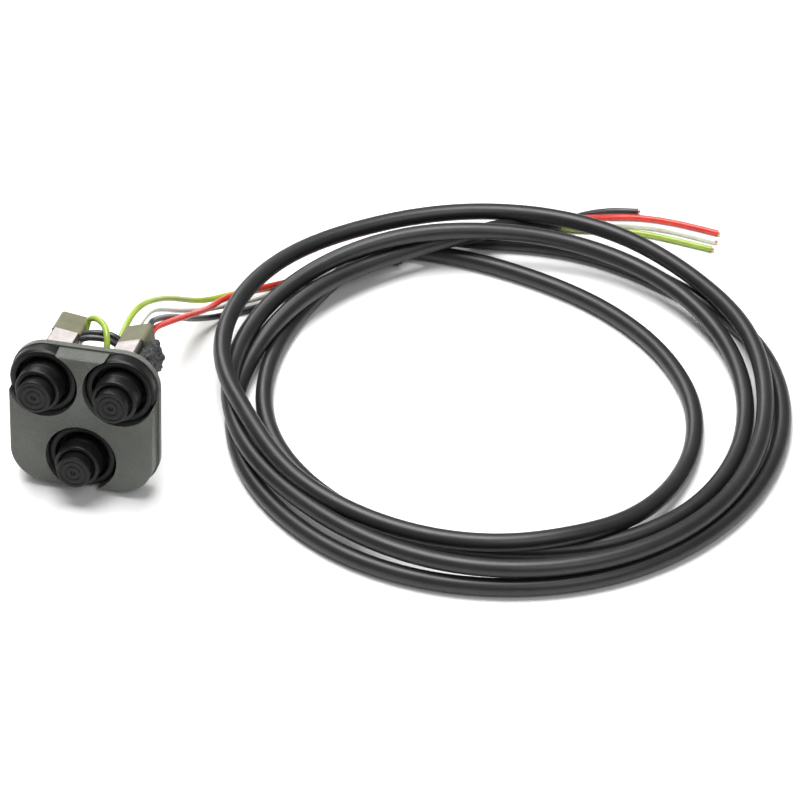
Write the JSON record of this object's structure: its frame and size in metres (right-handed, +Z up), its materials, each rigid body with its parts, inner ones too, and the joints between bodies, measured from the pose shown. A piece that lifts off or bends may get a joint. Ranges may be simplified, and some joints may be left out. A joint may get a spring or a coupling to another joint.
{
  "type": "pendant control station",
  "caption": "Push-button control station with rubber-booted buttons, switch modules, internal wiring and a loose coil of multi-core cable.",
  "frame": {"origin": "on the floor, under the middle of the control head (the cable not counted)", "axes": "+Z up, the buttons face -Y, +X to the right seen from the buttons' side"},
  "size_m": [0.2905, 0.2501, 0.0581],
  "materials": {
    "plate": "grey leather-grained enamel",
    "boot": "matt moulded rubber",
    "plunger": "moulded nylon",
    "spring": "drawn spring wire",
    "plated": "dull nickel plate",
    "case": "moulded phenolic",
    "brass": "tinned brass",
    "sleeve": "olive fibre sleeve",
    "label": "blank label",
    "potting": "rough cast compound",
    "cable": "satin cable jacket",
    "core_green": "core insulation",
    "core_red": "core insulation",
    "core_white": "core insulation",
    "core_black": "core insulation"
  },
  "bodies": {
    "root": {"barrel_left": "plated", "barrel_lower": "plated", "barrel_nuts": "plated", "barrel_right": "plated", "barrel_washers": "plated", "boot_skirt_left": "boot", "boot_skirt_lower": "boot", "boot_skirt_right": "boot", "cable_coil": "cable", "cable_tail": "cable", "core_black": "core_black", "core_green": "core_green", "core_red": "core_red", "core_white": "core_white", "face_plate": "plate", "far_core_black": "core_black", "far_core_green": "core_green", "far_core_red": "core_red", "far_core_white": "core_white", "insulating_sleeve_left": "sleeve", "insulating_sleeve_lower": "sleeve", "insulating_sleeve_right": "sleeve", "jumper_black_front": "core_black", "jumper_black_rear": "core_black", "jumper_green": "core_green", "potting_block": "potting", "rating_label_left": "label", "rating_label_right": "label", "return_spring_left": "spring", "return_spring_lower": "spring", "return_spring_right": "spring", "switch_case_left": "case", "switch_case_lower": "case", "switch_case_right": "case", "terminals_left": "brass", "terminals_lower": "brass", "terminals_right": "brass"},
    "button_left": {"button_cap_left": "boot", "plunger_left": "plunger", "contact_bridge_left": "brass"},
    "button_right": {"button_cap_right": "boot", "plunger_right": "plunger", "contact_bridge_right": "brass"},
    "button_lower": {"button_cap_lower": "boot", "plunger_lower": "plunger", "contact_bridge_lower": "brass"}
  },
  "joints": [
    {"name": "push_left", "type": "slide", "parent": "root", "child": "button_left", "axis": [0, 0.9848, -0.1736], "range_m": [0, 0.003], "stiffness_N_per_m": 700, "springref_m": -0.002, "deforming": ["return_spring_left"]},
    {"name": "push_right", "type": "slide", "parent": "root", "child": "button_right", "axis": [0, 0.9848, -0.1736], "range_m": [0, 0.003], "stiffness_N_per_m": 700, "springref_m": -0.002, "deforming": ["return_spring_right"]},
    {"name": "push_lower", "type": "slide", "parent": "root", "child": "button_lower", "axis": [0, 0.9848, -0.1736], "range_m": [0, 0.003], "stiffness_N_per_m": 700, "springref_m": -0.002, "deforming": ["return_spring_lower"]}
  ]
}
